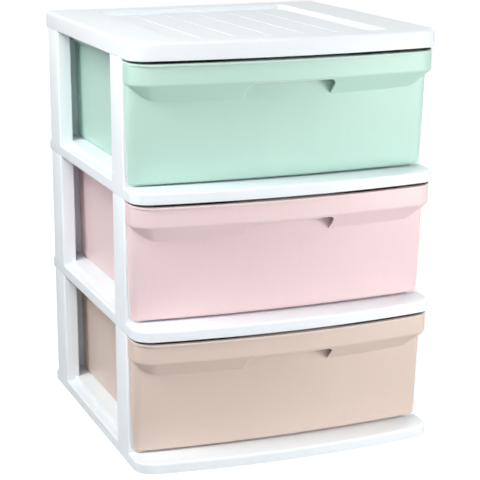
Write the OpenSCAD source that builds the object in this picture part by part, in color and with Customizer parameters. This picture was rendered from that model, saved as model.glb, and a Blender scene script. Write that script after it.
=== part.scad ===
// Free-standing tower of three stacked shelf frames, a tray-topped cover and three drawers.
// Millimetres, +Z up, front towards -Y, origin under the middle of the base.

/* [Tower] */
// Width over the skirts
tower_w = 400; // [360:1:460]
// Depth over the skirts, from the crest of the bowed front to the back
tower_d = 423; // [380:1:480]
// How far the front bows out between its corners
front_bow = 13; // [6:0.5:20]
// Radius of the two front corners in plan
front_corner_r = 26; // [20:1:34]
// Radius of the two rear corners in plan
rear_corner_r = 8; // [6:0.5:12]

/* [Shelf frame] */
// Height from one skirt to the next
frame_pitch = 170; // [150:1:200]
// Height of the skirt and rail round a shelf
shelf_h = 14; // [12:0.5:18]
// Radius along the top edge of a skirt
shelf_edge_r = 3; // [2:0.5:4]
// Wall of the frame moulding
frame_wall = 2.2; // [1.6:0.1:2.8]
// Flat rail left round the raised runner floor at each side
rail_w = 13; // [10:0.5:16]
// Rise of the runner floor above the rail
runner_rise = 5; // [4:0.5:8]
// Height of the stop wall behind the drawer, above the runner floor
stop_h = 12; // [6:0.5:20]
// Ribs under a shelf, along each direction
shelf_ribs = 3; // [1:1:5]
// Height left open below the ribs
rib_clear = 6; // [4:0.5:8]

/* [Corner posts] */
// How deep a post reaches in from the side
post_in = 18.5; // [16:0.5:22]
// Width of a front post, seen from the side
front_post_w = 48; // [40:0.5:56]
// Width of a rear post, seen from the side
rear_post_w = 50; // [40:0.5:56]
// Front post's distance behind the crest of the front
front_post_set = 59; // [56:0.5:70]
// Rear post's distance in from the back
rear_post_set = 14; // [12:0.5:24]
// How far the rear posts' back legs reach in from the side
back_leg = 50; // [40:1:70]
// Radius of a post's upright edges
post_edge_r = 2; // [1:0.5:3]
// Height of the tenon on top of a post
tenon_h = 10; // [6:0.5:12]
// Clearance all round a tenon in its socket
socket_fit = 0.3; // [0.2:0.05:0.5]

/* [Top cover] */
// Height of the cover's skirt
cover_h = 22; // [19:0.5:28]
// Radius along the cover's top edge
cover_edge_r = 4; // [2:0.5:5]
// Wall of the cover
cover_wall = 2.5; // [1.8:0.1:3]
// Depth of the tray sunk into the top
tray_depth = 6.5; // [3:0.5:8]
// Slope of the tray's wall, measured across
tray_slope = 2; // [1:0.5:4]
// Rim left beside the tray
tray_side = 63; // [40:1:80]
// Rim left in front of the tray, at the crest
tray_front = 31; // [24:1:50]
// Rim left behind the tray
tray_rear = 42; // [24:1:60]
// Corner radius of the tray
tray_corner_r = 10; // [6:0.5:16]
// Raised lines on the tray's floor
tray_lines = 5; // [1:2:7]
// Distance between the raised lines
tray_line_pitch = 45; // [30:0.5:50]
// Width of a raised line
tray_line_w = 1.8; // [1:0.1:3]
// Height of a raised line
tray_line_h = 0.8; // [0.4:0.1:1.5]
// Gap from the ends of a line to the tray's wall
tray_line_gap = 20; // [8:1:30]

/* [Drawer] */
// Wall of the drawer moulding
drawer_wall = 2; // [1.6:0.1:2.4]
// Gap between a drawer's top edge and the skirt above it
top_gap = 3.5; // [2:0.5:6]
// Gap between the front panel's lower edge and the shelf
bottom_gap = 2; // [1.5:0.1:3]
// Running gap under the drawer's floor
run_gap = 0.3; // [0.3:0.05:1]
// Gap between the front panel and the posts when shut
shut_gap = 0.5; // [0.3:0.1:1]
// Gap from the post to the rim at each side
side_gap = 5.5; // [3:0.5:8]
// Width of the rim round the tub
rim_w = 11.5; // [8:0.5:13]
// Drop of the rim's lip
rim_drop = 10; // [5:0.5:14]
// How much each side of the tub leans in on its way down
tub_draft = 1.5; // [1:0.5:5]
// Radius of the tub's rear corners
tub_corner_r = 12; // [10:1:20]
// Gap from the rim to the back legs when shut
rear_gap = 1.8; // [1:0.1:4]

/* [Drawer front] */
// Height of the band along the top of the front
band_h = 26; // [20:0.5:34]
// How far the band stays behind the outline of the skirts
band_inset = 1.4; // [1:0.1:2.5]
// Radius of the band's corners in plan
band_corner_r = 30; // [24:1:36]
// Bead along the band's top edge: how far it stands out
bead_out = 0.6; // [0.3:0.1:1]
// Height of the bead
bead_h = 2; // [1.2:0.1:3]
// Radius along the band's lower edge
band_edge_r = 2.5; // [1:0.5:4]
// Height of the sloped pull under the band
pull_drop = 26; // [18:0.5:34]
// How far the lower panel lies behind the crest of the skirts, at the pull
panel_set = 37.5; // [30:0.5:44]
// How far the lower panel bows out between its corners
panel_bow = 10.5; // [4:0.5:12]
// Lower panel's inset from the tower's sides, at the pull
panel_side = 2.5; // [2:0.1:5]
// How much the lower panel leans back on its way down
panel_lean = 5; // [1:0.5:6]
// How much the lower panel's ends lean in on their way down
panel_end_lean = 2; // [0.5:0.5:4]
// Radius of the lower panel's corners in plan
panel_corner_r = 13; // [11:0.5:16]
// Radius along the lower panel's bottom edge
panel_edge_r = 4; // [2:0.5:6]
// Width of the finger notch through the pull
notch_w = 114; // [80:1:140]
// Corner radius of the finger notch
notch_r = 9; // [4:0.5:14]

/* [Hidden] */
$fn = 32;
cut = 1;
tiny = 0.01;
arc_steps = 6;
bow_steps = 20;

white = "#f2f5f9";
mint = "#bfe6d5";
pink = "#ecccd2";
beige = "#d9c4b8";

half_w = tower_w / 2;
front_y = -tower_d / 2;
rear_y = tower_d / 2;
floor_z = shelf_h + runner_rise;
front_post_y = front_y + front_post_set;
rear_post_y = rear_y - rear_post_set - rear_post_w;
post_x = half_w - post_in;
post_back_y = rear_y - rear_post_set;
stack_h = 3 * frame_pitch;

// Radius of the circle that bows out by sag over a chord from -half to half.
function bow_radius(half, sag) = (half * half + sag * sag) / (2 * sag);

skirt_bow_r = bow_radius(half_w - front_corner_r, front_bow);

// Points of an arc round a centre.
function arc(centre, r, from, to, steps) =
    [for (i = [0 : steps]) centre + r * [cos(from + (to - from) * i / steps), sin(from + (to - from) * i / steps)]];

// Angle that the bow takes up on each side of its crest.
function bow_angle(half, bow_r, corner_r) = asin((half - corner_r) / (bow_r - corner_r));

// Front edge, left to right: a round corner, the bow and the other corner, each running into the next.
// Each corner ends at the line y = back where its arc would run behind it.
function front_edge(half, crest, bow_r, corner_r, back) =
    let (corner_x = half - corner_r,
         swing = bow_angle(half, bow_r, corner_r),
         corner_y = crest + bow_r - (bow_r - corner_r) * cos(swing),
         left = asin(max(0, min(0.95, (corner_y - back) / corner_r))),
         turn = 2 * swing / bow_steps)
    concat(arc([-corner_x, corner_y], corner_r, 180 + left, 270 - swing, arc_steps),
           arc([0, crest + bow_r], bow_r, 270 - swing + turn, 270 + swing - turn, bow_steps - 2),
           arc([corner_x, corner_y], corner_r, 270 + swing, 360 - left, arc_steps));

// Closed plan with a bowed front and two round rear corners.
function closed_plan(half, crest, back, bow_r, front_r, back_r) =
    concat(front_edge(half, crest, bow_r, front_r, back),
           arc([half - back_r, back - back_r], back_r, 0, 90, arc_steps),
           arc([back_r - half, back - back_r], back_r, 90, 180, arc_steps));

// The plan of skirts and cover, drawn in by inset all round.
function tower_plan(inset) =
    closed_plan(half_w - inset, front_y + inset, rear_y - inset, skirt_bow_r - inset,
                front_corner_r - inset, rear_corner_r - inset);

// Upright prism over a plan.
module prism(plan, from, to) {
    translate([0, 0, from]) linear_extrude(to - from) polygon(plan);
}

// Both sides of the tower.
module both_sides() {
    children();
    mirror([1, 0, 0]) children();
}

// Solid block over the tower's plan with its top edge rounded.
module rounded_block(height, edge_r) {
    hull() {
        prism(tower_plan(0), 0, height - edge_r);
        for (a = [30, 60, 90])
            translate([0, 0, height - edge_r * (1 - sin(a)) - tiny])
                linear_extrude(tiny) polygon(tower_plan(edge_r * (1 - cos(a))));
    }
}

// Rectangle with round corners, from its low corner.
module round_rect(size, r) {
    translate([r, 0]) square([size.x - 2 * r, size.y]);
    translate([0, r]) square([size.x, size.y - 2 * r]);
    for (x = [r, size.x - r], y = [r, size.y - r]) translate([x, y]) circle(r);
}

// ---- Posts, tenons and sockets ----

posts = [[front_post_y, front_post_w], [rear_post_y, rear_post_w]];

// Plan of one post on the right-hand side, drawn in by inset.
module post_plan(post, inset) {
    translate([post_x + inset, post[0] + inset])
        round_rect([post_in - 2 * inset, post[1] - 2 * inset], max(post_edge_r - inset, 0.5));
}

// Something drawn over each of the four post plans.
module at_posts(inset, from, to) {
    both_sides()
        for (post = posts)
            translate([0, 0, from]) linear_extrude(to - from) post_plan(post, inset);
}

// ---- Shelf frame ----

runner_x = half_w - rail_w;
runner_front_y = front_post_y + frame_wall;
shelf_under = floor_z - frame_wall;

// Ribs of one direction under the runner floor.
module shelf_rib_grid() {
    span_x = 2 * (post_x - frame_wall);
    span_y = post_back_y - runner_front_y;
    for (i = [1 : shelf_ribs]) {
        translate([-post_x + i * 2 * post_x / (shelf_ribs + 1) - frame_wall / 2, front_y + front_bow + frame_wall, rib_clear])
            cube([frame_wall, tower_d - front_bow - 2 * frame_wall, shelf_h - rib_clear]);
        translate([-span_x / 2, runner_front_y + i * span_y / (shelf_ribs + 1) - frame_wall / 2, rib_clear])
            cube([span_x, frame_wall, shelf_h - rib_clear]);
    }
}

// Raised floor that the drawer slides on.
module runner_floor(inset, from, to) {
    translate([-runner_x + inset, runner_front_y + inset, from])
        cube([2 * (runner_x - inset), post_back_y - runner_front_y - 2 * inset, to - from]);
}

// Thin leg that turns each rear post inwards along the back.
module back_legs() {
    both_sides()
        translate([half_w - back_leg, post_back_y - frame_wall, shelf_h - frame_wall])
            cube([back_leg - post_in + frame_wall / 2, frame_wall, frame_pitch - shelf_h + frame_wall]);
}

// Shelf with its skirt, runner floor, ribs and the stop wall behind the drawer.
module shelf() {
    difference() {
        union() {
            rounded_block(shelf_h, shelf_edge_r);
            runner_floor(0, shelf_h - cut, floor_z);
        }
        prism(tower_plan(frame_wall), -cut, shelf_h - frame_wall);
        runner_floor(frame_wall, 0, shelf_under);
    }
    shelf_rib_grid();
    translate([-post_x - cut, post_back_y - frame_wall, shelf_h - frame_wall])
        cube([2 * (post_x + cut), frame_wall, floor_z + stop_h - shelf_h + frame_wall]);
}

// One frame: a shelf, four hollow posts standing on it and a tenon on each post.
module frame_module() {
    difference() {
        union() {
            shelf();
            back_legs();
            at_posts(0, 0, frame_pitch);
            at_posts(frame_wall + socket_fit, frame_pitch - cut, frame_pitch + tenon_h);
        }
        at_posts(frame_wall, -cut, frame_pitch - 2 * frame_wall);
        at_posts(2 * frame_wall + socket_fit, frame_pitch - 2 * frame_wall - cut, frame_pitch + tenon_h - frame_wall);
    }
}

// ---- Top cover ----

tray_floor = cover_h - tray_depth;

// Plan of the tray, drawn in by inset.
function tray_plan(inset) =
    closed_plan(half_w - tray_side - inset, front_y + tray_front + inset, rear_y - tray_rear - inset,
                skirt_bow_r - tray_front - inset, tray_corner_r - inset, tray_corner_r - inset);

// One raised line, lying along Y on the tray's floor.
module tray_line() {
    low = front_y + tray_front + tray_slope + tray_line_gap;
    high = rear_y - tray_rear - tray_slope - tray_line_gap;
    translate([-tray_line_w / 2, low]) square([tray_line_w, high - low]);
    for (y = [low, high]) translate([0, y]) circle(d = tray_line_w);
}

// Cover with a rounded skirt, a sunken tray with raised lines, and four sockets for the tenons.
module cover() {
    difference() {
        union() {
            difference() {
                rounded_block(cover_h, cover_edge_r);
                prism(tower_plan(cover_wall), -cut, cover_h - cover_wall);
            }
            prism(tray_plan(-cover_wall), tray_floor - cover_wall, cover_h - cover_wall / 2);
            at_posts(0, 0, cover_h - cover_wall / 2);
            cover_ribs();
        }
        hull() {
            prism(tray_plan(tray_slope), tray_floor, tray_floor + tiny);
            prism(tray_plan(0), cover_h, cover_h + cut);
        }
        at_posts(frame_wall, -cut, cover_h - cover_wall);
    }
    for (i = [0 : tray_lines - 1])
        translate([(i - (tray_lines - 1) / 2) * tray_line_pitch, 0, tray_floor - cover_wall / 2])
            linear_extrude(tray_line_h + cover_wall / 2) tray_line();
}

// Ribs across the underside of the cover, one between each pair of posts.
module cover_ribs() {
    both_sides()
        translate([post_x, front_post_y + cut, rib_clear])
            cube([cover_wall, post_back_y - front_post_y - 2 * cut, cover_h - cover_wall / 2 - rib_clear]);
    for (post = posts)
        translate([-post_x - cut, post[0] + post[1] / 2 - cover_wall / 2, rib_clear])
            cube([2 * (post_x + cut), cover_wall, tray_floor - cover_wall / 2 - rib_clear]);
}

// ---- Drawer ----

drawer_top = frame_pitch - top_gap;
band_z = drawer_top - band_h;
pull_z = band_z - pull_drop;
panel_z = shelf_h + bottom_gap;
tub_z = floor_z + run_gap;
tub_floor = tub_z + drawer_wall;
back_y = front_post_y - shut_gap;
rim_x = post_x - side_gap;
tub_top_x = rim_x - rim_w + drawer_wall;
rim_overhang = rim_w - drawer_wall;
tub_rear_y = post_back_y - frame_wall - rear_gap - rim_overhang;
panel_bow_r = bow_radius(half_w - panel_side - front_corner_r / 2, panel_bow);
panel_edge_gap = 0.6;
panel_depth = panel_set - band_inset;
pull_slope = atan2(pull_drop, panel_depth);
// Rise of the inner skin over the outer one where the sloped pull meets an upright wall
pull_skin = drawer_wall * tan(45 - pull_slope / 2);

// Closes a front edge with a straight back.
function with_back(edge, back) = concat(edge, [[-edge[0].x, back], [edge[0].x, back]]);

// Plan of the band, drawn in by inset.
function band_plan(inset, back) =
    with_back(front_edge(half_w - inset, front_y + inset, skirt_bow_r - inset, band_corner_r - inset, back), back);

// Plan of the lower panel, drawn in by inset; height is 0 at its foot and 1 at the pull.
function panel_plan(height, inset, back) =
    let (half = half_w - panel_side - panel_end_lean * (1 - height) - inset,
         crest = front_y + panel_set + panel_lean * (1 - height) + inset)
    with_back(front_edge(half, crest, panel_bow_r - inset, panel_corner_r - inset, back - panel_edge_gap), back);

// How far a point lies behind the face of the band.
function depth_in_band(p) =
    let (half = half_w - band_inset,
         bow_r = skirt_bow_r - band_inset,
         r = band_corner_r - band_inset,
         mid_y = front_y + band_inset + bow_r,
         swing = bow_angle(half, bow_r, r),
         corner = [half - r, mid_y - (bow_r - r) * cos(swing)],
         q = [abs(p.x), p.y])
    q.y > corner.y ? half - q.x
    : atan2(q.x, mid_y - q.y) > swing ? r - norm(q - corner)
    : bow_r - norm(q - [0, mid_y]);

// A plan lifted to one height.
function at_height(plan, z) = [for (p = plan) [p.x, p.y, z]];

// Line where the sloped pull meets the lower panel: it rises to the band at both sides.
function pull_line(inset, rise, back) =
    let (first = panel_plan(1, 0, back),
         lift = [for (p = first) (panel_depth - depth_in_band(p)) * pull_drop / panel_depth])
    [for (i = [0 : len(first) - 1])
        let (p = panel_plan(1 + lift[i] / (pull_z - panel_z), inset, back)[i])
        [p.x, p.y, pull_z + max(lift[i], 0) + rise]];

// How much the band's lower edge is rounded above each point of the pull's line.
function band_round(back) = [for (p = pull_line(0, 0, back)) min(band_edge_r, (band_z - p.z) * 0.4)];

// One row of the rounding under the band, at an angle from 0, flat below, to 90, upright.
function band_row(angle, back) =
    let (outer = band_plan(band_inset, back),
         inner = band_plan(band_inset + band_edge_r, back),
         r = band_round(back))
    [for (i = [0 : len(outer) - 1])
        let (p = outer[i] + (inner[i] - outer[i]) * r[i] / band_edge_r * (1 - sin(angle)))
        [p.x, p.y, band_z + r[i] * (1 - cos(angle))]];

// Closed solid over rows of points that lie one above another.
module loft(rows) {
    n = len(rows[0]);
    last = (len(rows) - 1) * n;
    polyhedron(
        points = [for (row = rows) each row],
        faces = concat(
            [[for (i = [0 : n - 1]) i]],
            [[for (i = [n - 1 : -1 : 0]) last + i]],
            [for (k = [0 : len(rows) - 2], i = [0 : n - 1])
                [k * n + i, (k + 1) * n + i, (k + 1) * n + (i + 1) % n]],
            [for (k = [0 : len(rows) - 2], i = [0 : n - 1])
                [k * n + i, (k + 1) * n + (i + 1) % n, k * n + (i + 1) % n]]));
}

// Solid behind the face of the drawer front: lower panel, sloped pull, band and bead.
module front_body() {
    loft(concat(
        [for (a = [90, 60, 30, 0])
            at_height(panel_plan(0, panel_edge_r * (1 - cos(a)), back_y), panel_z + panel_edge_r * (1 - sin(a)))],
        [pull_line(0, 0, back_y)],
        [for (a = [0, 30, 60, 90]) band_row(a, back_y)],
        [at_height(band_plan(band_inset, back_y), drawer_top - bead_h - bead_out),
         at_height(band_plan(band_inset - bead_out, back_y), drawer_top - bead_h),
         at_height(band_plan(band_inset - bead_out, back_y), drawer_top - bead_out),
         at_height(band_plan(band_inset, back_y), drawer_top)]));
}

// Space inside the drawer front, above the drawer's floor.
module front_space() {
    back = back_y - drawer_wall;
    loft([at_height(panel_plan(0, drawer_wall, back), tub_floor),
          pull_line(drawer_wall, pull_skin, back),
          at_height(band_plan(band_inset + drawer_wall, back), band_z + pull_skin + tiny),
          at_height(band_plan(band_inset + drawer_wall, back), drawer_top + cut)]);
}

// Thin slice of the tub behind the front, leaning in by lean and drawn in by inset.
module tub_slice(lean, z, inset, front) {
    half = tub_top_x - lean - inset;
    back = tub_rear_y - lean / 2 - inset;
    r = tub_corner_r - inset;
    translate([0, 0, z])
        linear_extrude(tiny)
            polygon(concat([[-half, front], [half, front]],
                           arc([half - r, back - r], r, 0, 90, arc_steps),
                           arc([r - half, back - r], r, 90, 180, arc_steps)));
}

// Tub with walls that lean in on their way down, as a solid.
module tub(inset, low, high, front) {
    hull() {
        tub_slice(tub_draft, low, inset, front);
        tub_slice(0, high - tiny, inset, front);
    }
}

// Rim round the open top of the tub, with a lip that turns down.
module rim() {
    module ring(outer, inner) {
        difference() {
            rim_plan(outer);
            rim_plan(inner);
        }
    }
    translate([0, 0, drawer_top - drawer_wall]) linear_extrude(drawer_wall) ring(0, rim_w - tiny);
    translate([0, 0, drawer_top - rim_drop]) linear_extrude(rim_drop) ring(0, drawer_wall);
}

// Plan of the rim's outer edge, drawn in by inset.
module rim_plan(inset) {
    half = rim_x - inset;
    back = tub_rear_y + rim_overhang - inset;
    r = tub_corner_r + rim_overhang - inset;
    polygon(concat([[-half, back_y - drawer_wall], [half, back_y - drawer_wall]],
                   arc([half - r, back - r], r, 0, 90, arc_steps),
                   arc([r - half, back - r], r, 90, 180, arc_steps)));
}

// Upright column over the finger notch, side plus half its width, in front of the lower panel's line.
module notch_column(side, inset, low, high) {
    difference() {
        translate([-notch_w / 2 - side, front_y, low])
            cube([notch_w + 2 * side, panel_set + panel_bow, high - low]);
        prism(panel_plan(1, inset, back_y), low - cut, high + cut);
    }
}

// Finger space: open below, closed by the band in front, the panel behind and a web on top.
module finger_space() {
    crest = front_y + band_inset + drawer_wall;
    top = drawer_top - drawer_wall;
    intersection() {
        notch_column(0, 0, pull_z - cut, top);
        prism(band_plan(band_inset + drawer_wall, back_y), pull_z - 2 * cut, top + cut);
        translate([-notch_w / 2, crest, pull_z - cut])
            linear_extrude(top - pull_z + cut) round_rect([notch_w, front_post_set], notch_r);
    }
}

// One drawer: tub, rim and the hollow front with its sloped pull and finger notch.
module drawer() {
    difference() {
        union() {
            front_body();
            tub(0, tub_z, drawer_top, back_y - drawer_wall / 2);
            rim();
        }
        difference() {
            front_space();
            notch_column(drawer_wall, drawer_wall, pull_z - cut, drawer_top + 2 * cut);
        }
        tub(drawer_wall, tub_floor, drawer_top + cut, back_y - drawer_wall - cut);
        finger_space();
        prism(panel_plan(0, panel_edge_r + drawer_wall / 2, back_y + cut), panel_z - cut, tub_z);
    }
}

// ---- Pieces in their places ----

module top_cover() {
    color(white) translate([0, 0, stack_h]) cover();
}

module upper_frame() {
    color(white) translate([0, 0, 2 * frame_pitch]) frame_module();
}

module middle_frame() {
    color(white) translate([0, 0, frame_pitch]) frame_module();
}

module lower_frame() {
    color(white) frame_module();
}

module upper_drawer() {
    color(mint) translate([0, 0, 2 * frame_pitch]) drawer();
}

module middle_drawer() {
    color(pink) translate([0, 0, frame_pitch]) drawer();
}

module lower_drawer() {
    color(beige) drawer();
}

top_cover();
upper_frame();
middle_frame();
lower_frame();
upper_drawer();
middle_drawer();
lower_drawer();
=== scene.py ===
"""Looks, light and camera for a free-standing tower of three pastel drawers in white frames."""

import logging
import math
from collections.abc import Callable
from dataclasses import dataclass, replace
from enum import Enum
from typing import Any

import bmesh
import bpy
from mathutils import Matrix, Vector


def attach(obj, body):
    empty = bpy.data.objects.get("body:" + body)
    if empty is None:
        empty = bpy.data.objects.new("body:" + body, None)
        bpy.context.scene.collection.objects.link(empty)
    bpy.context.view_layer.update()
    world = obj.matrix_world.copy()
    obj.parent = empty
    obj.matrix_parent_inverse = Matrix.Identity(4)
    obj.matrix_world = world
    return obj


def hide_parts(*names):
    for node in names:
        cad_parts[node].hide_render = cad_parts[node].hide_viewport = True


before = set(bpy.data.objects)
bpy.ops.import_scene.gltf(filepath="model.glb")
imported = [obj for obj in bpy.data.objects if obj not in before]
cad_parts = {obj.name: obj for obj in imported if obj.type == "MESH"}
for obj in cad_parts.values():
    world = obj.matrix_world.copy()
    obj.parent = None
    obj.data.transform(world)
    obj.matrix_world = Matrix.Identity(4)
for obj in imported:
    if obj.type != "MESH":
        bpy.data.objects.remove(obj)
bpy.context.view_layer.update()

log = logging.getLogger("drawer_tower")

Point = tuple[float, float, float]
MM = 0.001
NEAR = 1e-5  # Metres within which two places are one
HAIR = 0.001  # Millimetres within which a point lies on the side of a plan
OVER = 1.0  # Millimetres by which a cutter, or a part that is fused on, passes a face
LEAST_R = 0.5  # Millimetres that a rear corner of a drawn-in plan keeps at least
STUB_R = 1.0  # Rear corner radius, in millimetres, of a plan whose back is cut off
PARALLEL = 0.999  # Cosine over which a face looks one way
SHARP_DEG = 32.0  # Angle over which an edge stays sharp
BACK, UP, DOWN = Vector((0, 1, 0)), Vector((0, 0, 1)), Vector((0, 0, -1))


def linear(hex_colour: str) -> tuple[float, float, float, float]:
    """Turn an sRGB hex colour into the linear values that a shader takes.

    Args:
        hex_colour: Six hex digits with a leading hash.

    Returns:
        Linear red, green, blue and an alpha of one.
    """
    parts = [int(hex_colour[i : i + 2], 16) / 255 for i in (1, 3, 5)]
    out = [c / 12.92 if c <= 0.04045 else ((c + 0.055) / 1.055) ** 2.4 for c in parts]
    return out[0], out[1], out[2], 1.0


def add_node(tree: bpy.types.NodeTree, kind: str, settings: dict[str, Any] | None = None,
             **inputs: Any) -> bpy.types.Node:
    """Add one node to a tree, set it up and link it.

    Args:
        tree: The node tree that gets the node.
        kind: Blender's type name of the node.
        settings: Properties of the node itself, by name.
        **inputs: A value or an output socket for each input, by its name with underscores for
            spaces, or by its number after the letter i.

    Returns:
        The new node.
    """
    node = tree.nodes.new(kind)
    for name, value in (settings or {}).items():
        setattr(node, name, value)
    for name, value in inputs.items():
        numbered = name[0] == "i" and name[1:].isdigit()
        socket = node.inputs[int(name[1:]) if numbered else name.replace("_", " ")]
        if isinstance(value, bpy.types.NodeSocket):
            tree.links.new(value, socket)
        else:
            socket.default_value = value
    return node


# ---- Finishes ----


class Plastic(Enum):
    """Colours in which the tower is moulded."""

    FROST_WHITE = "#eff5f9"
    MINT = "#c4e5d8"
    BLUSH = "#f3d9da"
    SAND = "#e2cec2"


@dataclass(frozen=True)
class MouldedPolypropylene:
    """Injection-moulded polypropylene: a soft satin skin over a slightly milky body.

    The mould's fine spark-eroded grain keeps highlights broad. It is drawn coarser than the real
    grain, which is too fine to show. The flow of the melt leaves a faint cloudiness and upright
    streaks, which stop the panels from looking flat. Along convex edges the colour is painted
    paler, towards white: a painted highlight that stands in for the shine on rounded edges.
    """

    title: str
    colour: Plastic
    ior: float = 1.49
    roughness: float = 0.42
    rough_spread: float = 0.04
    grain_mm: float = 1.8
    grain_depth_mm: float = 0.03
    grain_strength: float = 0.35
    cloud_mm: float = 90.0
    cloud_strength: float = 0.05
    streak_mm: float = 7.0
    streak_length: float = 40.0
    streak_strength: float = 0.01
    streak_range: tuple[float, float] = (0.3, 0.7)
    edge_mm: float = 1.1
    # Painted highlight: how far convex edges are painted towards white, over this span of inside
    # AO.
    painted_edge_highlight: float = 0.75
    painted_highlight_range: tuple[float, float] = (0.95, 0.6)

    def build(self) -> bpy.types.Material:
        """Make the material.

        Returns:
            A procedural material on object coordinates.
        """
        material = bpy.data.materials.new(self.title)
        material.use_nodes = True
        tree = material.node_tree
        tree.nodes.clear()
        place = add_node(tree, "ShaderNodeTexCoord").outputs["Object"]
        cloud = add_node(tree, "ShaderNodeTexNoise", Vector=place, Scale=1 / (self.cloud_mm * MM),
                         Detail=2.0, Roughness=0.5)
        base = linear(self.colour.value)
        dark = tuple(c * (1 - self.cloud_strength) for c in base[:3]) + (1.0,)
        tint = add_node(tree, "ShaderNodeMix", {"data_type": "RGBA"}, i0=cloud.outputs["Fac"],
                        i6=dark, i7=base)
        drawn = add_node(tree, "ShaderNodeVectorMath", {"operation": "MULTIPLY"}, i0=place,
                         i1=(1.0, 1.0, 1 / self.streak_length))
        streak = add_node(tree, "ShaderNodeTexNoise", Vector=drawn.outputs["Vector"],
                          Scale=1 / (self.streak_mm * MM), Detail=1.0)
        shade = add_node(tree, "ShaderNodeMapRange", Value=streak.outputs["Fac"],
                         From_Min=self.streak_range[0], From_Max=self.streak_range[1],
                         To_Min=1 - self.streak_strength, To_Max=1.0)
        flow = add_node(tree, "ShaderNodeVectorMath", {"operation": "SCALE"}, i0=tint.outputs[2],
                        Scale=shade.outputs["Result"])
        # Painted highlight: inside AO marks convex edges, where the colour is then mixed towards
        # white.
        thick = add_node(tree, "ShaderNodeAmbientOcclusion",
                         {"samples": 8, "inside": True, "only_local": True},
                         Distance=self.edge_mm * MM)
        glow = add_node(tree, "ShaderNodeMapRange", Value=thick.outputs["AO"],
                        From_Min=self.painted_highlight_range[0], From_Max=self.painted_highlight_range[1],
                        To_Min=0.0, To_Max=self.painted_edge_highlight)
        # The painted highlight: the colour mixed towards white along convex edges.
        skin = add_node(tree, "ShaderNodeMix", {"data_type": "RGBA"}, i0=glow.outputs["Result"],
                        i6=flow.outputs["Vector"], i7=linear("#ffffff"))
        grain = add_node(tree, "ShaderNodeTexNoise", Vector=place, Scale=1 / (self.grain_mm * MM),
                         Detail=3.0, Roughness=0.6)
        edge = add_node(tree, "ShaderNodeBevel", {"samples": 6}, Radius=self.edge_mm * MM)
        bump = add_node(tree, "ShaderNodeBump", Strength=self.grain_strength,
                        Distance=self.grain_depth_mm * MM, Height=grain.outputs["Fac"],
                        Normal=edge.outputs["Normal"])
        rough = add_node(tree, "ShaderNodeMapRange", Value=cloud.outputs["Fac"],
                         To_Min=self.roughness - self.rough_spread,
                         To_Max=self.roughness + self.rough_spread)
        shader = add_node(tree, "ShaderNodeBsdfPrincipled", Base_Color=skin.outputs[2],
                          IOR=self.ior, Roughness=rough.outputs["Result"],
                          Normal=bump.outputs["Normal"])
        add_node(tree, "ShaderNodeOutputMaterial", Surface=shader.outputs["BSDF"])
        return material


# ---- Modelling by hand ----


class Element(Enum):
    """What a selection is made of."""

    VERT = "VERT"
    EDGE = "EDGE"
    FACE = "FACE"


class Join(Enum):
    """How one solid acts on another."""

    ADD = "UNION"
    CUT = "DIFFERENCE"
    KEEP = "INTERSECT"


def metres(values: tuple[float, ...]) -> tuple[float, ...]:
    """Turn millimetres into metres."""
    return tuple(v * MM for v in values)


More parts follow.
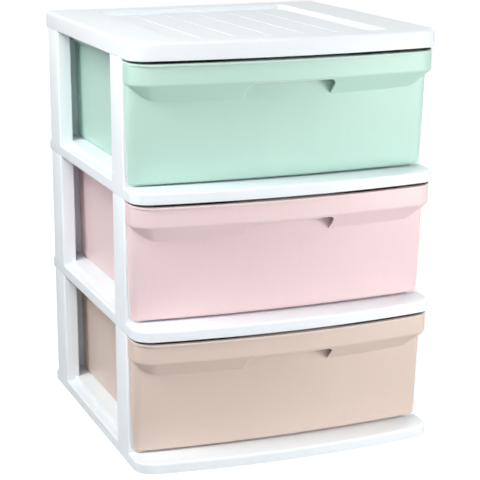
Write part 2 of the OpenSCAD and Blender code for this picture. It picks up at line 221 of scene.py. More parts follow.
class Blank:
    """A mesh under work: edit-mode steps in millimetres, with parts picked by place or normal."""

    def __init__(self, name: str, size: Point, centre: Point) -> None:
        """Start from a block.

        Args:
            name: Name of the piece.
            size: Its width, depth and height.
            centre: Its middle.
        """
        bpy.ops.object.select_all(action="DESELECT")
        bpy.ops.mesh.primitive_cube_add(size=1, location=metres(centre), scale=metres(size))
        self.take(name)

    def take(self, name: str) -> None:
        """Own the active object, with its place moved into its mesh.

        Args:
            name: Name of the piece.
        """
        self.obj = bpy.context.object
        self.obj.name = self.obj.data.name = name
        bpy.ops.object.transform_apply(location=True, rotation=True, scale=True)

    @classmethod
    def slab(cls, name: str, low: Point, high: Point) -> "Blank":
        """A block between two corners.

        Args:
            name: Name of the piece.
            low: Its lowest corner.
            high: Its highest corner.

        Returns:
            The new block.
        """
        size = tuple(b - a for a, b in zip(low, high))
        return cls(name, size, tuple((a + b) / 2 for a, b in zip(low, high)))

    @classmethod
    def plan(cls, name: str, outline: "Plan", height: float) -> "Blank":
        """A flat face over a plan, its outline drawn by spinning a point round each centre.

        Args:
            name: Name of the piece.
            outline: The plan.
            height: Height of the face.

        Returns:
            The new face, selected and in edit mode.
        """
        blank = cls.wire(name, outline, height)
        bpy.ops.mesh.edge_face_add()
        bpy.ops.mesh.select_all(action="SELECT")
        return blank

    @classmethod
    def wire(cls, name: str, outline: "Plan", height: float) -> "Blank":
        """The outline of a plan, drawn by spinning a point round each centre.

        Args:
            name: Name of the piece.
            outline: The plan.
            height: Height of the outline.

        Returns:
            The new outline, selected and in edit mode.
        """
        blank = cls.__new__(cls)
        bpy.ops.object.select_all(action="DESELECT")
        bpy.ops.mesh.primitive_plane_add(size=MM)
        blank.take(name)
        bpy.ops.object.mode_set(mode="EDIT")
        blank.mode(Element.VERT)
        bpy.ops.mesh.select_all(action="SELECT")
        bpy.ops.mesh.merge(type="CENTER")
        bpy.ops.transform.translate(value=metres((-outline.half, outline.corner_y, height)))
        corner_x, rear_x = outline.half - outline.front_r, outline.half - outline.back_r
        rear_y = outline.back - outline.back_r
        quarter, swing = math.pi / 2, outline.swing
        blank.spin((-corner_x, outline.corner_y), quarter - swing, outline.corner_steps)
        blank.spin((0, outline.crest + outline.bow_r), 2 * swing, outline.bow_steps)
        blank.spin((corner_x, outline.corner_y), quarter - swing, outline.corner_steps)
        blank.run((0, rear_y - outline.corner_y))
        blank.spin((rear_x, rear_y), quarter, outline.back_steps)
        blank.run((-2 * rear_x, 0))
        blank.spin((-rear_x, rear_y), quarter, outline.back_steps)
        blank.pick(Element.VERT, lambda v: v.co.x < (HAIR - outline.half) * MM)
        bpy.ops.mesh.edge_face_add()
        bpy.ops.mesh.select_all(action="SELECT")
        return blank

    @classmethod
    def loft(cls, name: str, low: "Plan", low_z: float, high: "Plan", high_z: float) -> "Blank":
        """A closed solid between two plans, its sides bridged from outline to outline.

        Args:
            name: Name of the piece.
            low: The lower plan.
            low_z: Height of its lower face.
            high: The upper plan.
            high_z: Height of its upper face.

        Returns:
            The solid, in edit mode.
        """
        under = cls.wire(name, low, low_z).leave()
        over = cls.wire(f"{name}_over", high, high_z).leave()
        under.activate()
        over.obj.select_set(True)
        bpy.ops.object.join()
        under.pick(Element.EDGE)
        bpy.ops.mesh.bridge_edge_loops()
        for height in (low_z, high_z):
            under.at_height(height)
            bpy.ops.mesh.edge_face_add()
        return under

    def spin(self, centre: tuple[float, float], angle: float, steps: int) -> None:
        """Draw an arc from the selected point, anticlockwise seen from above."""
        bpy.ops.mesh.spin(steps=steps, angle=-angle, center=metres((*centre, 0)), axis=(0, 0, 1))

    def run(self, step: tuple[float, float]) -> None:
        """Draw a straight line from the selected point."""
        bpy.ops.mesh.extrude_vertices_move(TRANSFORM_OT_translate={"value": metres((*step, 0))})

    def mode(self, element: Element) -> None:
        """Set what gets selected."""
        bpy.ops.mesh.select_mode(type=element.value)

    def activate(self) -> None:
        """Make the piece the active object and the only selected one."""
        bpy.ops.object.select_all(action="DESELECT")
        bpy.context.view_layer.objects.active = self.obj
        self.obj.select_set(True)

    def pick(self, element: Element, test: Callable[[Any], bool] = lambda part: True) -> "Blank":
        """Select parts of the mesh in edit mode.

        Args:
            element: What is selected.
            test: Says which vertices, edges or faces, in metres.

        Returns:
            The blank itself.
        """
        if bpy.context.mode == "OBJECT":
            self.activate()
            bpy.ops.object.mode_set(mode="EDIT")
        self.mode(element)
        bpy.ops.mesh.select_all(action="DESELECT")
        mesh = bmesh.from_edit_mesh(self.obj.data)
        parts = {Element.VERT: mesh.verts, Element.EDGE: mesh.edges, Element.FACE: mesh.faces}
        for part in parts[element]:
            if test(part):
                part.select_set(True)
        bmesh.update_edit_mesh(self.obj.data)
        return self

    def facing(self, way: Vector) -> "Blank":
        """Select the faces that look one way.

        Args:
            way: The direction they look in.

        Returns:
            The blank itself.
        """
        self.pick(Element.FACE)
        bpy.ops.mesh.normals_make_consistent(inside=False)
        return self.pick(Element.FACE, lambda f: f.normal.dot(way) > PARALLEL)

    def at_height(self, height: float,
                  where: Callable[[bmesh.types.BMEdge], bool] = lambda edge: True) -> "Blank":
        """Select the edges that lie at one height.

        Args:
            height: The height.
            where: Says which of them count.

        Returns:
            The blank itself.
        """
        return self.pick(Element.EDGE, lambda e: where(e)
                         and all(abs(v.co.z - height * MM) < NEAR for v in e.verts))

    def upright(self, where: Callable[[Vector], bool] = lambda middle: True) -> "Blank":
        """Select the upright edges.

        Args:
            where: Says which middles count, in metres.

        Returns:
            The blank itself.
        """
        def test(edge: bmesh.types.BMEdge) -> bool:
            """Say whether an edge stands upright in the right place."""
            a, b = (v.co for v in edge.verts)
            return (a - b).xy.length < NEAR < abs(a.z - b.z) and where((a + b) / 2)
        return self.pick(Element.EDGE, test)

    def extrude(self, step: Point) -> "Blank":
        """Extrude the selected faces by a step."""
        bpy.ops.mesh.extrude_region_move(TRANSFORM_OT_translate={"value": metres(step)})
        return self

    def inset(self, thickness: float) -> "Blank":
        """Inset the selected faces."""
        bpy.ops.mesh.inset(thickness=thickness * MM, use_even_offset=True)
        return self

    def bevel(self, radius: float, segments: int = 4) -> "Blank":
        """Round the selected edges."""
        bpy.ops.mesh.bevel(offset=radius * MM, segments=segments, affect="EDGES",
                           clamp_overlap=False)
        return self

    def stretch(self, anchor_y: float, across: float, along: float) -> "Blank":
        """Scale what is selected in plan about a line across the tower.

        Args:
            anchor_y: The line that stays.
            across: Factor across the tower.
            along: Factor from front to back.

        Returns:
            The blank itself.
        """
        bpy.ops.transform.resize(value=(across, along, 1), center_override=(0, anchor_y * MM, 0))
        return self

    def slice(self, place: Point, way: Vector) -> "Blank":
        """Cut off all that lies beyond a plane and close the cut.

        Args:
            place: A point of the plane.
            way: The side that is cut off.

        Returns:
            The blank itself.
        """
        self.pick(Element.FACE)
        bpy.ops.mesh.bisect(plane_co=metres(place), plane_no=way, use_fill=True, clear_outer=True)
        return self

    def done(self) -> "Blank":
        """Leave edit mode with all faces pointing outwards.

        Returns:
            The blank itself.
        """
        self.pick(Element.FACE)
        bpy.ops.mesh.normals_make_consistent(inside=False)
        return self.leave()

    def leave(self) -> "Blank":
        """Leave edit mode with nothing selected.

        Returns:
            The blank itself.
        """
        bpy.ops.mesh.select_all(action="DESELECT")
        bpy.ops.object.mode_set(mode="OBJECT")
        return self

    def combine(self, how: Join, *others: "Blank") -> "Blank":
        """Add other solids, cut them away or keep what is shared; they are used up.

        Args:
            how: What is done.
            *others: The solids.

        Returns:
            The blank itself.
        """
        for other in others:
            cut = self.obj.modifiers.new("joint", "BOOLEAN")
            cut.operation, cut.solver, cut.object = how.value, "EXACT", other.obj
            self.activate()
            bpy.ops.object.modifier_apply(modifier=cut.name)
            other.discard()
        return self

    def discard(self) -> None:
        """Remove the piece from the scene."""
        bpy.data.objects.remove(self.obj)

    def copy(self, name: str, step: Point = (0, 0, 0), mirrored: bool = False) -> "Blank":
        """Copy the piece with its own mesh.

        Args:
            name: Name of the copy.
            step: How far the copy is moved.
            mirrored: Whether it is mirrored from left to right.

        Returns:
            The copy.
        """
        self.activate()
        bpy.ops.object.duplicate(linked=False)
        twin = Blank.__new__(Blank)
        twin.obj = bpy.context.object
        twin.obj.name = twin.obj.data.name = name
        twin.pick(Element.VERT)
        if mirrored:
            bpy.ops.transform.resize(value=(-1, 1, 1), center_override=(0, 0, 0))
        bpy.ops.transform.translate(value=metres(step))
        return twin.done() if mirrored else twin.leave()

    def smooth(self) -> "Blank":
        """Merge what touches, and smooth all but the true edges.

        Returns:
            The blank itself.
        """
        self.pick(Element.VERT)
        bpy.ops.mesh.remove_doubles(threshold=NEAR)
        bpy.ops.mesh.dissolve_degenerate(threshold=NEAR)
        self.leave()
        bpy.ops.object.shade_smooth_by_angle(angle=math.radians(SHARP_DEG))
        return self

    def finish(self, material: bpy.types.Material, node: str, body: str, slot: str) -> None:
        """Dress the piece and let it stand for its CAD node.

        Args:
            material: Its finish.
            node: The node it stands for.
            body: The body it rides on.
            slot: The record's material slot; not used.
        """
        self.obj.data.materials.clear()
        self.obj.data.materials.append(material)
        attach(self.obj, body)
        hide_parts(node)
        log.info("%s: %d faces in %s", self.obj.name, len(self.obj.data.polygons), material.name)


@dataclass(frozen=True)
class Plan:
    """Closed plan, in mm, with a bowed front and two round corners each in front and behind."""

    half: float
    crest: float
    back: float
    bow_r: float
    front_r: float
    back_r: float
    bow_steps: int = 40
    corner_steps: int = 10
    back_steps: int = 6

    @property
    def swing(self) -> float:
        """Half the angle of the bow, in radians."""
        return math.asin((self.half - self.front_r) / (self.bow_r - self.front_r))

    @property
    def corner_y(self) -> float:
        """Where the centres of the front corners lie."""
        return self.crest + self.bow_r - (self.bow_r - self.front_r) * math.cos(self.swing)

    def drawn_in(self, inset: float) -> "Plan":
        """The same plan drawn in all round."""
        return replace(self, half=self.half - inset, crest=self.crest + inset,
                       back=self.back - inset, bow_r=self.bow_r - inset,
                       front_r=self.front_r - inset, back_r=max(self.back_r - inset, LEAST_R))

    def prism(self, name: str, low: float, high: float) -> Blank:
        """An upright solid over the plan.

        Args:
            name: Name of the piece.
            low: Height of its lower face.
            high: Height of its upper face.

        Returns:
            The solid.
        """
        return Blank.plan(name, self, low).extrude((0, 0, high - low)).done()


def bow_radius(half: float, sag: float) -> float:
    """Radius of the circle that bows out by sag over a chord from -half to half."""
    return (half * half + sag * sag) / (2 * sag)


# ---- Pieces ----


@dataclass
class Tower:
    """Sizes that all pieces share, in mm."""

    half: float = 200.0
    depth: float = 423.0
    front_bow: float = 13.0
    front_r: float = 26.0
    rear_r: float = 8.0
    pitch: float = 170.0
    post_in: float = 18.5
    front_post: tuple[float, float] = (-152.5, -104.5)
    rear_post: tuple[float, float] = (147.5, 197.5)

    @property
    def plan(self) -> Plan:
        """Plan of the skirts and the cover."""
        bow_r = bow_radius(self.half - self.front_r, self.front_bow)
        return Plan(self.half, -self.depth / 2, self.depth / 2, bow_r, self.front_r, self.rear_r)

    @property
    def post_x(self) -> float:
        """Inner side of the posts."""
        return self.half - self.post_in

    def post(self, name: str, span: tuple[float, float], low: float, high: float, inset: float,
             edge_r: float) -> Blank:
        """One right-hand post with round upright edges.

        Args:
            name: Name of the piece.
            span: Where its front and back lie.
            low: Its foot.
            high: Its top.
            inset: How far it is drawn in all round.
            edge_r: Radius of its upright edges.

        Returns:
            The post.
        """
        post = Blank.slab(name, (self.post_x + inset, span[0] + inset, low),
                          (self.half - inset, span[1] - inset, high))
        return post.upright().bevel(edge_r).done()


@dataclass
class ShelfFrame:
    """One frame: shelf with its skirt, raised runner floor, stop wall and four hollow posts."""

    tower: Tower
    shelf_h: float = 14.0
    edge_r: float = 3.0
    wall: float = 2.2
    thin_round: float = 0.3
    rail_w: float = 13.0
    rise: float = 5.0
    rise_r: float = 1.2
    stop_h: float = 12.0
    back_leg: float = 50.0
    ribs: int = 3
    rib_clear: float = 6.0
    post_r: float = 2.0
    tenon_h: float = 10.0
    tenon_r: float = 1.0
    hollow_r: float = 0.5
    fit: float = 0.3
    seam: float = 0.7

    def shelf(self) -> Blank:
        """The skirt with its shelf and the raised floor, hollow from below.

        Returns:
            The shelf.
        """
        t, floor = self.tower, self.shelf_h + self.rise
        shelf = t.plan.prism("shelf", 0, self.shelf_h)
        shelf.at_height(self.shelf_h).bevel(self.edge_r, segments=5)
        shelf.facing(DOWN).inset(self.wall).extrude((0, 0, self.shelf_h - self.wall)).done()
        runner_x, front = t.half - self.rail_w, t.front_post[0] + self.wall
        runner = Blank.slab("runner", (-runner_x, front, self.shelf_h - self.wall / 2),
                            (runner_x, t.rear_post[1], floor))
        runner.at_height(floor).bevel(self.rise_r, segments=3).done()
        under = Blank.slab("under", (self.wall - runner_x, front + self.wall, -OVER),
                           (runner_x - self.wall, t.rear_post[1] - self.wall, floor - self.wall))
        return shelf.combine(Join.ADD, runner).combine(Join.CUT, under)

    def rear_wall(self) -> list[Blank]:
        """The stop wall behind the drawer and the two thin legs beside it.

        Returns:
            Three thin walls.
        """
        t, back = self.tower, self.tower.rear_post[1]
        low, top = self.shelf_h - self.wall, self.shelf_h + self.rise + self.stop_h
        round_r, leg_x = self.wall * self.thin_round, t.half - self.back_leg
        stop = Blank.slab("stop", (-t.post_x - OVER, back - self.wall, low),
                          (t.post_x + OVER, back, top))
        stop.at_height(top).bevel(round_r, segments=2).done()
        leg = Blank.slab("leg", (leg_x, back - self.wall, low),
                         (t.post_x + self.wall / 2, back, t.pitch))
        leg.upright(lambda m: m.x < (leg_x + OVER) * MM).bevel(round_r, segments=2).done()
        return [stop, leg.copy("leg_left", mirrored=True), leg]

    def under_ribs(self) -> list[Blank]:
        """Ribs under the shelf, both ways.

        Returns:
            The ribs.
        """
        t, out, thick = self.tower, [], self.wall / 2
        low, high = self.rib_clear, self.shelf_h - thick
        end_x, low_y = t.post_x - self.wall, t.front_post[0] + self.wall
        span_y = t.rear_post[1] - low_y
        front, rear = -t.depth / 2 + t.front_bow + self.wall, t.depth / 2 - self.wall
        for i in range(1, self.ribs + 1):
            x = -t.post_x + i * 2 * t.post_x / (self.ribs + 1)
            y = low_y + i * span_y / (self.ribs + 1)
            out.append(Blank.slab(f"rib_along_{i}", (x - thick, front, low),
                                  (x + thick, rear, high)))
            out.append(Blank.slab(f"rib_across_{i}", (-end_x, y - thick, low),
                                  (end_x, y + thick, high)))
        return out

    def build(self) -> Blank:
        """One whole frame, standing on the floor.

        Returns:
            The frame.
        """
        t = self.tower
        body = self.shelf()
        body.combine(Join.ADD, *self.rear_wall(), *self.under_ribs())
        for i, span in enumerate((t.front_post, t.rear_post)):
            post = t.post(f"post_{i}", span, 0, t.pitch, 0, self.post_r)
            post.at_height(t.pitch).bevel(self.seam, segments=2).done()
            tenon = t.post(f"tenon_{i}", span, t.pitch - OVER, t.pitch + self.tenon_h,
                           self.wall + self.fit, self.tenon_r)
            hollow = t.post(f"hollow_{i}", span, -OVER, t.pitch - 2 * self.wall, self.wall,
                            self.hollow_r)
            mirrored = [b.copy(f"{b.obj.name}_left", mirrored=True) for b in (post, tenon, hollow)]
            body.combine(Join.ADD, post, tenon, mirrored[0], mirrored[1])
            body.combine(Join.CUT, hollow, mirrored[2])
        return body.smooth()


@dataclass
class TopCover:
    """The cover: a skirt, a sunken tray and the raised lines on its floor."""

    tower: Tower
    height: float = 22.0
    edge_r: float = 4.0
    wall: float = 2.5
    tray_depth: float = 6.5
    tray_slope: float = 2.0
    tray_side: float = 63.0
    tray_front: float = 31.0
    tray_rear: float = 42.0
    tray_r: float = 10.0
    lip_r: float = 1.2
    lines: int = 5
    line_pitch: float = 45.0
    line_w: float = 1.8
    line_h: float = 0.6
    line_gap: float = 20.0
    line_end_round: float = 0.45
    line_top_round: float = 0.35
    gate_r: float = 2.5
    gate_y: float = 22.0
    gate_depth: float = 0.5
    gate_round: float = 0.95
    rib_clear: float = 6.0
    sleeve_low: float = 0.1
    sleeve_in: float = 0.4
    sleeve_r: float = 1.6
    socket_in: float = 2.2
    socket_r: float = 0.5

    @property
    def tray(self) -> Plan:
        """Plan of the tray at its upper edge."""
        t = self.tower
        return Plan(t.half - self.tray_side, -t.depth / 2 + self.tray_front,
                    t.depth / 2 - self.tray_rear, t.plan.bow_r - self.tray_front, self.tray_r,
                    self.tray_r)

    def sunken(self) -> Blank:
        """The space in the tray, wider at its upper edge.

        Returns:
            What is cut away.
        """
        plan, floor = self.tray, self.height - self.tray_depth
        middle = (plan.crest + plan.back) / 2
        tray = Blank.plan("tray", plan.drawn_in(self.tray_slope), floor)
        tray.extrude((0, 0, self.tray_depth))
        tray.stretch(middle, plan.half / (plan.half - self.tray_slope),
                     (plan.back - middle) / (plan.back - middle - self.tray_slope))
        tray.at_height(floor).bevel(self.lip_r, segments=3)
        return tray.facing(UP).extrude((0, 0, OVER)).done()

    def raised_line(self, name: str, x: float) -> Blank:
        """One low line with round ends on the tray's floor.

        Args:
            name: Name of the piece.
            x: Where it lies.

        Returns:
            The line.
        """
        floor, reach = self.height - self.tray_depth, self.tray_slope + self.line_gap
        top = floor + self.line_h
        line = Blank.slab(name, (x - self.line_w / 2, self.tray.crest + reach, floor - OVER),
                          (x + self.line_w / 2, self.tray.back - reach, top))
        line.upright().bevel(self.line_w * self.line_end_round)
        return line.at_height(top).bevel(self.line_h * self.line_top_round, segments=2).done()

    def gate_mark(self) -> Blank:
        """The small round mark that the mould's gate leaves in the middle line.

        Returns:
            What is cut away.
        """
        floor, r = self.height - self.tray_depth, self.gate_r
        gate = Blank.slab("gate_mark", (-r, self.gate_y - r, floor - self.gate_depth),
                          (r, self.gate_y + r, floor + 2 * OVER))
        return gate.upright().bevel(r * self.gate_round, segments=6).done()

    def build(self, level: float) -> Blank:
        """The cover, in its place.

        Args:
            level: Height of its lower edge.

        Returns:
            The cover.
        """
        t, floor = self.tower, self.height - self.tray_depth
        inner, edge = self.height - self.wall, self.height - self.wall / 2
        cover = t.plan.prism("cover", 0, self.height)
        cover.at_height(self.height).bevel(self.edge_r, segments=6)
        cover.facing(DOWN).inset(self.wall).extrude((0, 0, inner)).done()
        pan = self.tray.drawn_in(-self.wall).prism("pan", floor - self.wall, edge)
        cover.combine(Join.ADD, pan).combine(Join.CUT, self.sunken())
        for i in range(self.lines):
            x = (i - (self.lines - 1) / 2) * self.line_pitch
            cover.combine(Join.ADD, self.raised_line(f"line_{i}", x))
        cover.combine(Join.CUT, self.gate_mark())
        for i, span in enumerate((t.front_post, t.rear_post)):
            sleeve = t.post(f"sleeve_{i}", span, self.sleeve_low, edge, self.sleeve_in,
                            self.sleeve_r)
            socket = t.post(f"socket_{i}", span, -OVER, inner, self.socket_in, self.socket_r)
            twins = [b.copy(f"{b.obj.name}_left", mirrored=True) for b in (sleeve, socket)]
            rib_y = (span[0] + span[1] - self.wall) / 2
            rib = Blank.slab(f"rib_{i}", (-t.post_x - OVER, rib_y, self.rib_clear),
                             (t.post_x + OVER, rib_y + self.wall, floor - self.wall / 2))
            cover.combine(Join.ADD, rib, sleeve, twins[0]).combine(Join.CUT, socket, twins[1])
        side = Blank.slab("side_rib", (t.post_x, t.front_post[0] + OVER, self.rib_clear),
                          (t.post_x + self.wall, t.rear_post[1] - OVER, edge))
        twin = side.copy("side_rib_left", mirrored=True)
        cover.combine(Join.ADD, side, twin).smooth()
        placed = cover.copy("top_cover_moulding", (0, 0, level))
        cover.discard()
        return placed


@dataclass
class Drawer:
    """One drawer: bow-fronted band over a sloped pull, lower panel, tub and rim."""

    tower: Tower
    wall: float = 2.0
    top: float = 166.5
    floor: float = 19.3
    panel_z: float = 16.0
    back_y: float = -153.0
    band_h: float = 26.0
    band_inset: float = 1.4
    band_set: float = 2.8
    band_r: float = 30.0
    band_edge: float = 2.2
    bead_out: float = 2.4
    bead_h: float = 3.4
    bead_slope: float = 1.0
    pull_drop: float = 23.0
    pull_side: float = 23.0
    pull_r: float = 10.0
    pull_over: float = 1.12
    panel_set: float = 29.0
    panel_bow: float = 10.5
    panel_side: float = 2.5
    panel_lean: float = 13.5
    panel_end_lean: float = 0.3
    panel_r: float = 13.0
    panel_edge: float = 4.0
    panel_over: float = 6.0
    foot_r: float = 11.0
    notch_w: float = 114.0
    notch_r: float = 13.0
    pocket: float = 10.0
    keep_short: float = 4.0
    tub_half: float = 166.5
    tub_rear: float = 189.5
    tub_draft: float = 1.5
    tub_r: float = 9.0
    rim_w: float = 9.5
    rim_rear: float = 4.0
    rim_drop: float = 10.0
    rim_edge: float = 0.8
    anchor: float = -110.0

    @property
    def band(self) -> Plan:
        """Plan of the band, with its sides carried on behind the cut."""
        t = self.tower
        return Plan(t.half - self.band_inset, -t.depth / 2 + self.band_set, self.anchor,
                    t.plan.bow_r - self.band_set, self.band_r - self.band_inset, STUB_R,
                    back_steps=1)

    @property
    def panel(self) -> Plan:
        """Plan of the lower panel at its foot."""
        t = self.tower
        half = t.half - self.panel_side
        crest = -t.depth / 2 + self.panel_set + self.panel_lean
        return Plan(half - self.panel_end_lean, crest, self.anchor,
                    bow_radius(half - t.front_r / 2, self.panel_bow), self.panel_r, STUB_R,
                    back_steps=1)

    def panel_head(self, inset: float) -> Plan:
        """Plan of the lower panel where it meets the pull.

        Args:
            inset: How far its front and sides are drawn in.

        Returns:
            The plan.
        """
        plan = self.panel
        return replace(plan, half=plan.half + self.panel_end_lean - inset,
                       crest=plan.crest - self.panel_lean + inset)

    @property
    def band_z(self) -> float:
        """Lower edge of the band."""
        return self.top - self.band_h

    @property
    def pull_z(self) -> float:
        """Lower edge of the sloped pull."""
        return self.band_z - self.pull_drop

    def band_solid(self, inset: float) -> Blank:
        """The band with the sloped pull under it.

        Args:
            inset: How far it is drawn in, 0 for the outer skin.

        Returns:
            The solid.
        """
        run, over = self.panel_set - self.band_set, self.pull_over
        skin = inset * math.tan(math.pi / 4 - math.atan2(self.pull_drop, run) / 2)
        plan = replace(self.band.drawn_in(inset), back=self.anchor, back_r=STUB_R)
        edge, depth = self.band_z + skin, run * over
        foot = replace(plan, half=plan.half - self.pull_side * over, crest=plan.crest + depth,
                       bow_r=plan.bow_r - depth, front_r=self.pull_r)
        solid = Blank.loft("band", foot, edge - self.pull_drop * over, plan, edge)
        rise = self.top - edge - (self.bead_h if inset == 0 else -2 * OVER)
        solid.facing(UP).extrude((0, 0, rise))
        if inset == 0:
            out = 1 - self.bead_out / (plan.crest - self.anchor)
            solid.extrude((0, 0, self.bead_slope / 2)).stretch(self.anchor, 1, out)
            solid.extrude((0, 0, self.bead_h - 1.5 * self.bead_slope))
            solid.extrude((0, 0, self.bead_slope)).stretch(self.anchor, 1, 1 / out)
            solid.at_height(edge).bevel(self.band_edge, segments=5)
        return solid.slice((0, self.back_y - inset, 0), BACK).done()

    def panel_solid(self, inset: float) -> Blank:
        """The lower panel, leaning back on its way down.

        Args:
            inset: How far it is drawn in, 0 for the outer skin.

        Returns:
            The solid.
        """
        plan = replace(self.panel.drawn_in(inset), back=self.anchor, back_r=STUB_R)
        low = self.panel_z if inset == 0 else self.floor + self.wall
        high = self.band_z + self.panel_over if inset == 0 else self.top + 2 * OVER
        rise = (high - low) / (self.pull_z - self.panel_z)
        solid = Blank.plan("panel", plan, low).extrude((0, 0, high - low))
        solid.stretch(self.anchor, (plan.half + self.panel_end_lean * rise) / plan.half,
                      1 - self.panel_lean * rise / (plan.crest - self.anchor))
        edge = self.panel_edge if inset == 0 else self.panel_edge - self.wall
        solid.at_height(low).bevel(edge, segments=5)
        solid.slice((0, self.back_y - inset, 0), BACK).done()
        if inset == 0:
            solid.combine(Join.KEEP, self.round_foot(plan.half, low, high, rise))
        return solid

    def round_foot(self, half: float, low: float, high: float, rise: float) -> Blank:
        """What the panel keeps, with round lower corners seen from the front.

        Args:
            half: Half its width at the foot.
            low: Its foot.
            high: Its top.
            rise: Its height over that of the leaning part.

        Returns:
            The solid.
        """
        keep = Blank.slab("round_foot", (-half, -self.tower.depth / 2, low),
                          (half, self.back_y + 2 * OVER, high))
        keep.at_height(low, lambda e: abs(e.verts[0].co.x - e.verts[1].co.x) < NEAR)
        keep.bevel(self.foot_r, segments=8)
        return keep.facing(UP).stretch(0, (half + self.panel_end_lean * rise) / half, 1).done()

    def tub_solid(self, inset: float) -> Blank:
        """The tub behind the front, leaning in on its way down.

        Args:
            inset: How far it is drawn in, 0 for the outer skin.

        Returns:
            The solid.
        """
        front = self.back_y - self.wall / 2 - inset
        low = self.floor + inset
        high = self.top + (2 * OVER if inset else 0)
        solid = Blank.slab("tub", (inset - self.tub_half, front, low),
                           (self.tub_half - inset, self.tub_rear - inset, high))
        solid.upright(lambda m: m.y > 0).bevel(self.tub_r - inset, segments=8)
        lean = (self.tub_half - inset - self.tub_draft) / (self.tub_half - inset)
        solid.facing(DOWN).stretch(front, lean, 1 - self.tub_draft / 2 / (self.tub_rear - front))
        solid.at_height(low, lambda e: max(v.co.y for v in e.verts) > (front + OVER) * MM)
        return solid.bevel(self.panel_edge - inset).done()

    def rim(self) -> Blank:
        """The rim round the top of the tub, with a lip that turns down.

        Returns:
            The rim.
        """
        low, front = self.top - self.rim_drop, self.back_y - self.wall / 2
        half, rear = self.tub_half + self.rim_w, self.tub_rear + self.rim_rear
        rim = Blank.slab("rim", (-half, front, low), (half, rear, self.top))
        corner_r = self.tub_r + self.rim_w
        rim.upright(lambda m: m.y > 0).bevel(corner_r, segments=8)
        rim.at_height(self.top, lambda e: max(v.co.y for v in e.verts) > (front + OVER) * MM)
        rim.bevel(self.rim_edge, segments=3).done()
        under = Blank.slab("rim_under", (self.wall - half, front - OVER, low - OVER),
                           (half - self.wall, rear - self.wall, self.top - self.wall))
        under.upright(lambda m: m.y > 0).bevel(corner_r - self.wall, segments=8).done()
        return rim.combine(Join.CUT, under)

    def notch_keep(self) -> Blank:
        """What stays of the front round the finger notch.

        Returns:
            A column with the lower panel's inner face behind it.
        """
        side = self.notch_w / 2 + self.pocket + self.wall
        low, high = self.pull_z - OVER, self.top + 4 * OVER
        column = Blank.slab("notch_keep", (-side, -self.tower.depth / 2, low),
                            (side, self.back_y - self.keep_short, high))
        inner = self.panel_head(self.wall).prism("panel_inner", low - OVER, high + 2 * OVER)
        return column.combine(Join.CUT, inner)

    def finger_space(self) -> Blank:
        """Space for the fingers: open below, and wider behind the skin of the pull.

        Returns:
            The solid that is cut away.
        """
        crest, low, high = self.band.crest + self.wall, self.pull_z - OVER, self.top - self.wall
        wide = self.notch_w / 2
        space = Blank.slab("finger_space", (-wide, crest, low), (wide, self.back_y, high))
        space.upright(lambda m: m.y < (crest + OVER) * MM).bevel(self.notch_r, segments=8).done()
        inner = self.band.drawn_in(self.wall)
        space.combine(Join.KEEP, inner.prism("band_inner", low - OVER, high + OVER))
        wide += self.pocket
        pocket = Blank.slab("pocket", (-wide, crest - self.wall, low), (wide, self.back_y, high))
        space.combine(Join.ADD, pocket.combine(Join.KEEP, self.band_solid(self.wall)))
        outer = self.panel_head(0).prism("panel_outer", low - OVER, high + OVER)
        return space.combine(Join.CUT, outer)

    def build(self) -> Blank:
        """One whole drawer at the lowest level.

        Returns:
            The drawer.
        """
        drawer = self.band_solid(0)
        drawer.combine(Join.ADD, self.panel_solid(0), self.rim(), self.tub_solid(0))
        inside = self.band_solid(self.wall).combine(Join.ADD, self.panel_solid(self.wall))
        inside.combine(Join.CUT, self.notch_keep())
        drawer.combine(Join.CUT, inside, self.tub_solid(self.wall), self.finger_space())
        return drawer.smooth()


def direction(yaw: float, pitch: float) -> Vector:
    """Unit vector at a yaw to the right of straight back and a pitch upwards, in radians."""
    return Vector((math.sin(yaw) * math.cos(pitch), math.cos(yaw) * math.cos(pitch),
                   math.sin(pitch)))


@dataclass(frozen=True)
class Softbox:
    """One square soft lamp that looks at the tower, placed by bearing and height."""

    name: str
    bearing_deg: float
    height_deg: float
    watts: float
    side: float = 1.0
    reach: float = 3.0
    aim: Point = (0.0, 0.0, 0.27)

    def build(self) -> None:
        """Hang the lamp; bearing 0 is straight in front and 90 is to the right."""
        data = bpy.data.lights.new(self.name, "AREA")
        data.shape, data.size, data.energy = "SQUARE", self.side, self.watts
        lamp = bpy.data.objects.new(self.name, data)
        bpy.context.scene.collection.objects.link(lamp)
        way = direction(math.radians(180 - self.bearing_deg), math.radians(self.height_deg))
        lamp.location = Vector(self.aim) + self.reach * way
        lamp.rotation_euler = way.to_track_quat("Z", "Y").to_euler()


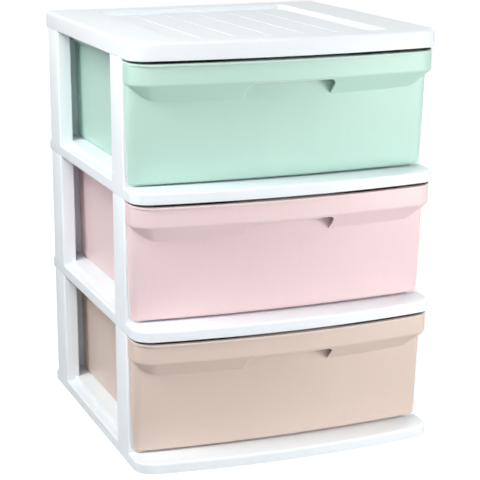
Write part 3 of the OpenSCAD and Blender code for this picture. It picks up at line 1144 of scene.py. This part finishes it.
@dataclass
class Studio:
    """Plain pale floor, soft lamps and the camera."""

    eye: Point = (-0.7311, -1.9493, 0.7511)
    yaw_deg: float = 20.75
    pitch_deg: float = -13.89
    roll_deg: float = -0.12
    focal_px: float = 1590.9
    frame_px: int = 480
    sensor_mm: float = 36.0
    far: float = 50.0
    floor_side: float = 12.0
    shadow_reach: tuple[float, float] = (0.5, 1.5)
    floor_glow: tuple[float, float] = (0.78, 1.0)
    room_light: float = 0.05
    lamps: tuple[Softbox, ...] = (
        Softbox("front", -15, 10, 8.0),
        Softbox("front left", -35, 45, 11.5),
        Softbox("left side", -80, 30, 12.5),
        Softbox("high left", -75, 55, 31.0),
        Softbox("front right", 45, 12, 16.0),
        Softbox("right side", 90, 25, 4.0),
        Softbox("back left", -130, 25, 5.0),
        Softbox("back right", 130, 25, 20.0),
        Softbox("near left", -70, 35, 7.2, 0.5, 1.2, (-0.1, -0.1, 0.45)),
        Softbox("near right, in front", 30, 4, 3.2, 0.4, 1.3, (0.15, -0.2, 0.1)),
        Softbox("near right", 50, 6, 5.2, 0.5, 1.1, (0.1, -0.2, 0.12)),
    )

    def camera(self) -> None:
        """Set up the camera at the photographed angle."""
        data = bpy.data.cameras.new("camera")
        data.sensor_width = self.sensor_mm
        data.lens = self.focal_px / self.frame_px * data.sensor_width
        data.clip_end = self.far
        camera = bpy.data.objects.new("camera", data)
        bpy.context.scene.collection.objects.link(camera)
        yaw, pitch, roll = (math.radians(a) for a in (self.yaw_deg, self.pitch_deg, self.roll_deg))
        ahead = direction(yaw, pitch)
        right = Vector((math.cos(yaw), -math.sin(yaw), 0.0))
        up = right.cross(ahead)
        side = right * math.cos(roll) + up * math.sin(roll)
        top = -right * math.sin(roll) + up * math.cos(roll)
        turn = Matrix((side, top, -ahead)).transposed()
        camera.matrix_world = Matrix.Translation(self.eye) @ turn.to_4x4()
        bpy.context.scene.camera = camera

    def floor(self) -> None:
        """Lay a matt white floor that keeps the tower's shadow and is plain white further off."""
        bpy.ops.object.select_all(action="DESELECT")
        bpy.ops.mesh.primitive_plane_add(size=self.floor_side)
        floor = bpy.context.object
        floor.name = "floor"
        material = bpy.data.materials.new("matt white paper")
        material.use_nodes = True
        tree = material.node_tree
        tree.nodes.clear()
        path = add_node(tree, "ShaderNodeLightPath")
        place = add_node(tree, "ShaderNodeTexCoord").outputs["Object"]
        away = add_node(tree, "ShaderNodeVectorMath", {"operation": "LENGTH"}, i0=place)
        lift = add_node(tree, "ShaderNodeMapRange", Value=away.outputs["Value"],
                        From_Min=self.shadow_reach[0], From_Max=self.shadow_reach[1],
                        To_Min=self.floor_glow[0], To_Max=self.floor_glow[1])
        paper = add_node(tree, "ShaderNodeBsdfDiffuse", Color=linear("#bdbdbd"))
        glow = add_node(tree, "ShaderNodeEmission", Color=linear("#ffffff"),
                        Strength=lift.outputs["Result"])
        both = add_node(tree, "ShaderNodeAddShader", i0=paper.outputs[0], i1=glow.outputs[0])
        pick = add_node(tree, "ShaderNodeMixShader", i0=path.outputs["Is Camera Ray"],
                        i1=paper.outputs[0], i2=both.outputs[0])
        add_node(tree, "ShaderNodeOutputMaterial", Surface=pick.outputs[0])
        floor.data.materials.append(material)

    def world(self) -> None:
        """Fill the room with even light, white where it is seen or mirrored."""
        world = bpy.data.worlds.new("soft room")
        bpy.context.scene.world = world
        world.use_nodes = True
        tree = world.node_tree
        tree.nodes.clear()
        path = add_node(tree, "ShaderNodeLightPath")
        seen = add_node(tree, "ShaderNodeMath", {"operation": "MAXIMUM"},
                        i0=path.outputs["Is Camera Ray"], i1=path.outputs["Is Glossy Ray"])
        clear = add_node(tree, "ShaderNodeMath", {"operation": "MAXIMUM"},
                         i0=seen.outputs[0], i1=path.outputs["Is Transmission Ray"])
        room = add_node(tree, "ShaderNodeBackground", Color=linear("#f4f8ff"),
                        Strength=self.room_light)
        white = add_node(tree, "ShaderNodeBackground", Color=linear("#ffffff"), Strength=1.0)
        pick = add_node(tree, "ShaderNodeMixShader", i0=clear.outputs[0], i1=room.outputs[0],
                        i2=white.outputs[0])
        add_node(tree, "ShaderNodeOutputWorld", Surface=pick.outputs[0])

    def build(self) -> None:
        """Build floor, light and camera."""
        self.floor()
        self.world()
        for lamp in self.lamps:
            lamp.build()
        self.camera()
        bpy.context.scene.view_settings.view_transform = "Standard"


LEVELS = (
    ("lower", "sand", Plastic.SAND, "drawer_beige"),
    ("middle", "blush", Plastic.BLUSH, "drawer_pink"),
    ("upper", "mint", Plastic.MINT, "drawer_mint"),
)


def main() -> None:
    """Build the scene."""
    logging.basicConfig(level=logging.INFO)
    tower = Tower()
    white = MouldedPolypropylene("frost white moulded polypropylene", Plastic.FROST_WHITE).build()
    shelf_frame, drawer = ShelfFrame(tower).build(), Drawer(tower).build()
    for i, (level, title, colour, slot) in enumerate(LEVELS):
        step = (0, 0, i * tower.pitch)
        moulding = shelf_frame.copy(f"{level}_frame_moulding", step)
        moulding.finish(white, f"{level}_frame", "tower", "frame_white")
        material = MouldedPolypropylene(f"{title} moulded polypropylene", colour).build()
        moulding = drawer.copy(f"{level}_drawer_moulding", step)
        moulding.finish(material, f"{level}_drawer", f"{level}_drawer", slot)
    cover = TopCover(tower).build(len(LEVELS) * tower.pitch)
    cover.finish(white, "top_cover", "tower", "frame_white")
    for spare in (shelf_frame, drawer):
        spare.discard()
    Studio().build()


if __name__ == "__main__":
    main()
